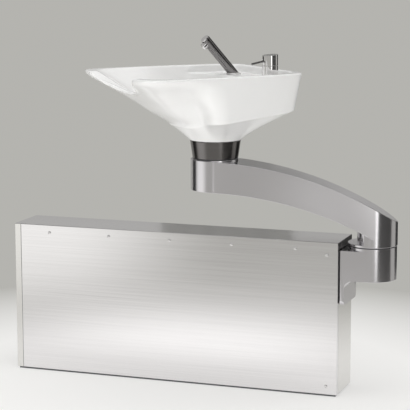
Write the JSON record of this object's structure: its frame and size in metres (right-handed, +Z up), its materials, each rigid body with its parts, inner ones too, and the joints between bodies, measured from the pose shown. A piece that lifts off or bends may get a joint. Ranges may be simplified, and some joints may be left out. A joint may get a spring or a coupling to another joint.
{
  "type": "backwash unit",
  "caption": "Salon backwash unit: a white ceramic shampoo basin with mixer and hand shower on an arched swing arm at the end of a low brushed steel floor cabinet.",
  "frame": {"origin": "On the floor, at the centre of the underside of the cabinet's base plate.", "axes": "+Z up, +X along the cabinet towards the end that carries the arm, +Y towards the cabinet's back."},
  "size_m": [1.2135, 0.6485, 1.0719],
  "materials": {
    "stainless": "fine horizontal brushing",
    "steel_frame": "satin paint",
    "cast_metal": "satin",
    "gunmetal": "semi-gloss dark metal",
    "ceramic": "gloss white glaze",
    "chrome": "polished",
    "dark_chrome": "polished dark",
    "steel": "plain",
    "rubber": "matt",
    "bearing_plastic": "matt",
    "brass": "plain"
  },
  "bodies": {
    "cabinet": {"base_plate": "steel_frame", "frame_posts": "steel_frame", "top_rails": "steel_frame", "top_cover": "stainless", "front_panel": "stainless", "left_end_panel": "stainless", "right_end_panel": "stainless", "rear_panel": "stainless", "panel_screws": "steel", "pipe_carrier": "steel_frame", "drain_hose": "rubber", "cabinet_supply_hoses": "rubber", "bracket_gasket": "rubber", "bracket": "cast_metal", "bracket_bolts": "steel", "pivot_post": "steel", "thrust_washer": "bearing_plastic", "pivot_nut": "steel", "drain_stub": "bearing_plastic", "hot_stub": "brass", "cold_stub": "brass"},
    "arm": {"arm_casting": "cast_metal", "arm_bottom_cover": "cast_metal", "arm_cover_screws": "steel", "pivot_bush": "bearing_plastic", "swivel_bush": "bearing_plastic", "slip_ring": "bearing_plastic", "waste_hose": "rubber", "arm_supply_hoses": "rubber"},
    "basin": {"spindle": "steel", "spindle_nut": "steel", "collar": "gunmetal", "support_flange": "steel", "basin_gasket": "rubber", "basin": "ceramic", "waste_fitting": "chrome", "waste_gasket": "rubber", "waste_nut": "bearing_plastic", "mixer_base": "chrome", "mixer_nut": "steel", "shower_holder": "chrome", "shower_hose": "steel"},
    "strainer": {"strainer": "chrome"},
    "mixer_head": {"mixer_head": "chrome", "lever_pin": "steel"},
    "lever": {"mixer_lever": "dark_chrome"},
    "hand_shower": {"shower_body": "dark_chrome", "shower_cap": "chrome", "spray_nozzle": "chrome"}
  },
  "joints": [
    {"name": "arm_swing", "type": "hinge", "parent": "cabinet", "child": "arm", "pos_m": [0.612, 0, 0.5], "axis": [0, 0, 1], "range_deg": [-18, 72]},
    {"name": "basin_swivel", "type": "hinge", "parent": "arm", "child": "basin", "pos_m": [0.16738, -0.14447, 0.717], "axis": [0, 0, 1], "range_deg": [-90, 90]},
    {"name": "mixer_temperature", "type": "hinge", "parent": "basin", "child": "mixer_head", "pos_m": [0.33259, -0.13445, 1], "axis": [0, 0, 1], "range_deg": [-45, 45]},
    {"name": "mixer_flow", "type": "hinge", "parent": "mixer_head", "child": "lever", "pos_m": [0.33259, -0.13445, 1.0097], "axis": [-0.7314, 0.682, 0], "range_deg": [0, 20]},
    {"name": "shower_pull", "type": "slide", "parent": "basin", "child": "hand_shower", "axis": [-0.4563, -0.4894, 0.7431], "range_m": [0, 0.12], "deforming": ["shower_hose"]},
    {"name": "strainer_lift", "type": "slide", "parent": "basin", "child": "strainer", "axis": [0, 0, 1], "range_m": [0, 0.03]}
  ]
}
